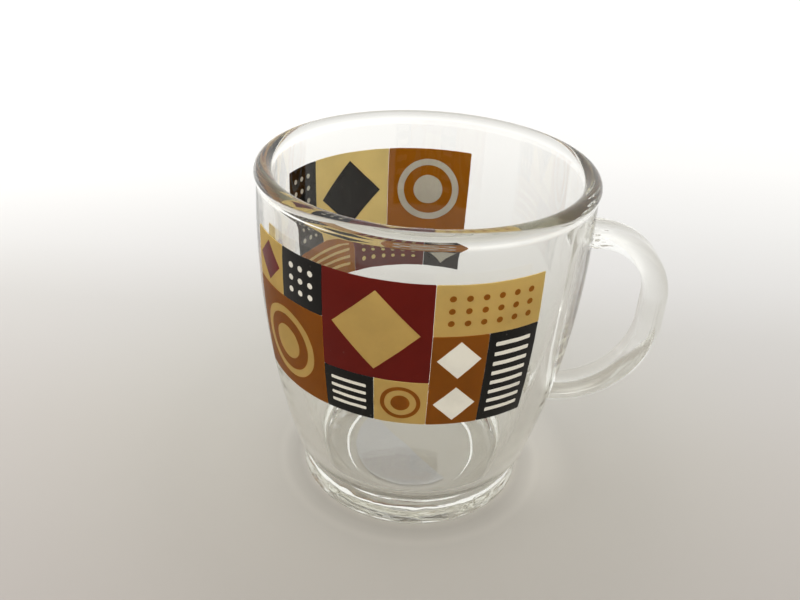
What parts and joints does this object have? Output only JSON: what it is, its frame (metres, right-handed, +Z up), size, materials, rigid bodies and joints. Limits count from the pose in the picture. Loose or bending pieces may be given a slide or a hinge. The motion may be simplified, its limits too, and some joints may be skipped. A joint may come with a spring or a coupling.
{
  "type": "glass mug",
  "caption": "Clear glass coffee mug with a barrel-shaped side, rounded rim, ear handle, foot ring and a patchwork enamel print.",
  "frame": {"origin": "centre of the foot ring, on the surface that the mug stands on", "axes": "+Z up along the bowl's axis, +X towards the handle, +Y away from the side with the larger printed panel"},
  "size_m": [0.1077, 0.0852, 0.092],
  "materials": {
    "clear_glass": "fire polished",
    "tan_enamel": "gloss",
    "brown_enamel": "gloss",
    "maroon_enamel": "gloss",
    "black_enamel": "gloss",
    "white_enamel": "gloss",
    "label_paper": "matt"
  },
  "bodies": {
    "root": {"glass_bowl": "clear_glass", "handle": "clear_glass", "enamel_tan": "tan_enamel", "enamel_brown": "brown_enamel", "enamel_maroon": "maroon_enamel", "enamel_black": "black_enamel", "enamel_white": "white_enamel", "base_label": "label_paper"}
  },
  "joints": []
}
